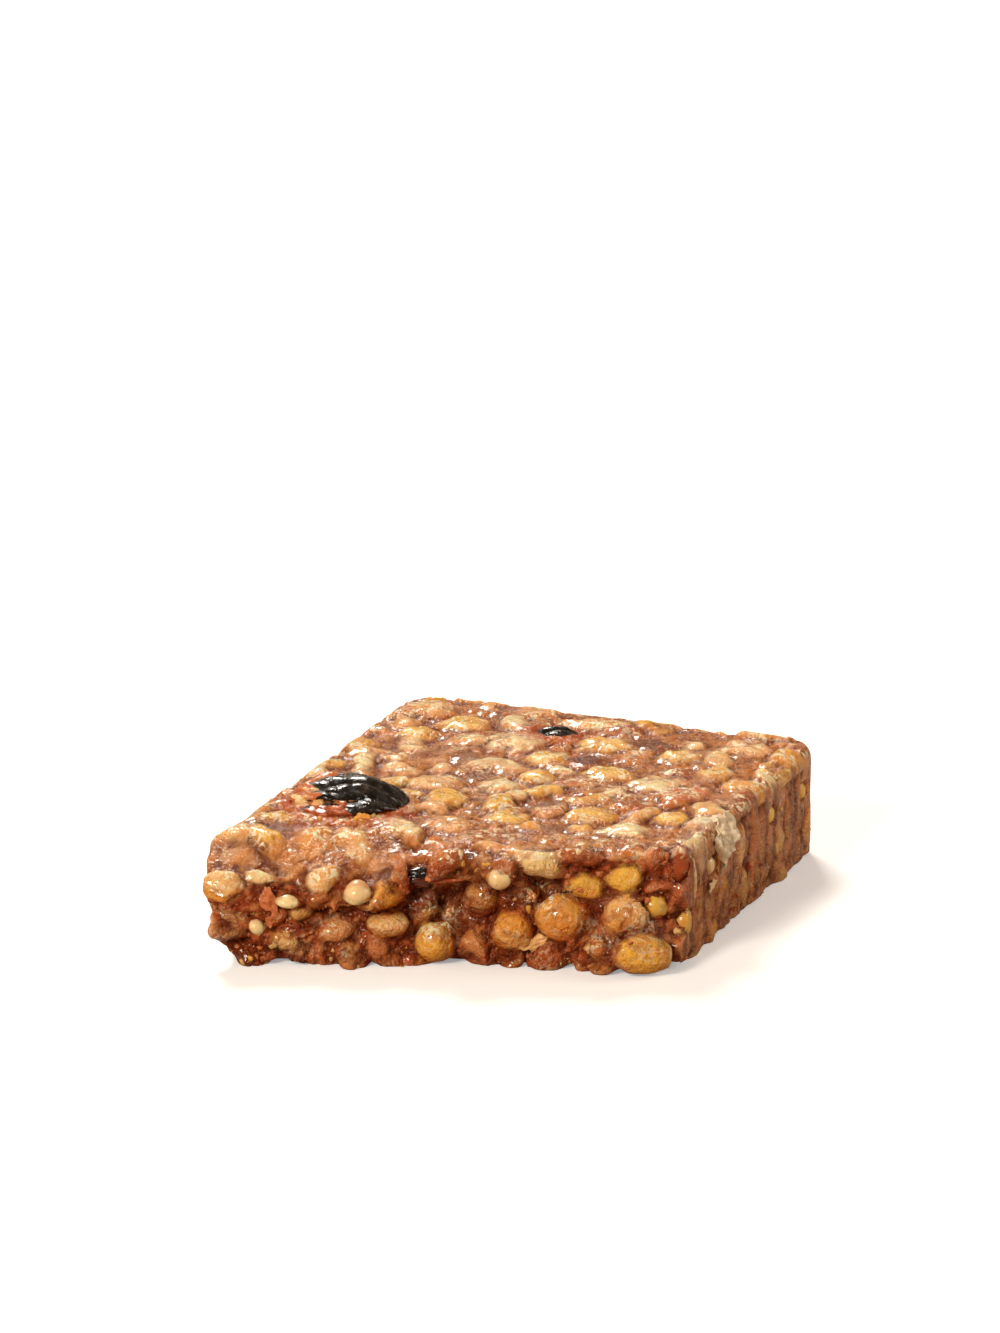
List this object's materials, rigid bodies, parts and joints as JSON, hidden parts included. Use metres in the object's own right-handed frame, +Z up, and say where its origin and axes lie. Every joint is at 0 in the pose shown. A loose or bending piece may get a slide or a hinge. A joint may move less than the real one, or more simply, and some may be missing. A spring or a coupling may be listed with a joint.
{
  "type": "granola bar",
  "caption": "Half of a pressed granola bar with straight cut sides and one snapped end, of puffed grains and seeds in date paste with dark dried fruit.",
  "frame": {"origin": "middle of the bounding box, on the flat pressed underside", "axes": "+Z up through the bar's thickness; +Y along the two straight cut sides, away from the snapped end; +X across the bar towards its shorter cut side"},
  "size_m": [0.0394, 0.0494, 0.0124],
  "materials": {
    "bar": "sticky grains in a thin syrup glaze",
    "dried_fruit": "wrinkled, dark and glossy"
  },
  "bodies": {
    "root": {"bar": "bar", "fruit_front": "dried_fruit", "fruit_back": "dried_fruit", "fruit_inner": "dried_fruit"}
  },
  "joints": []
}
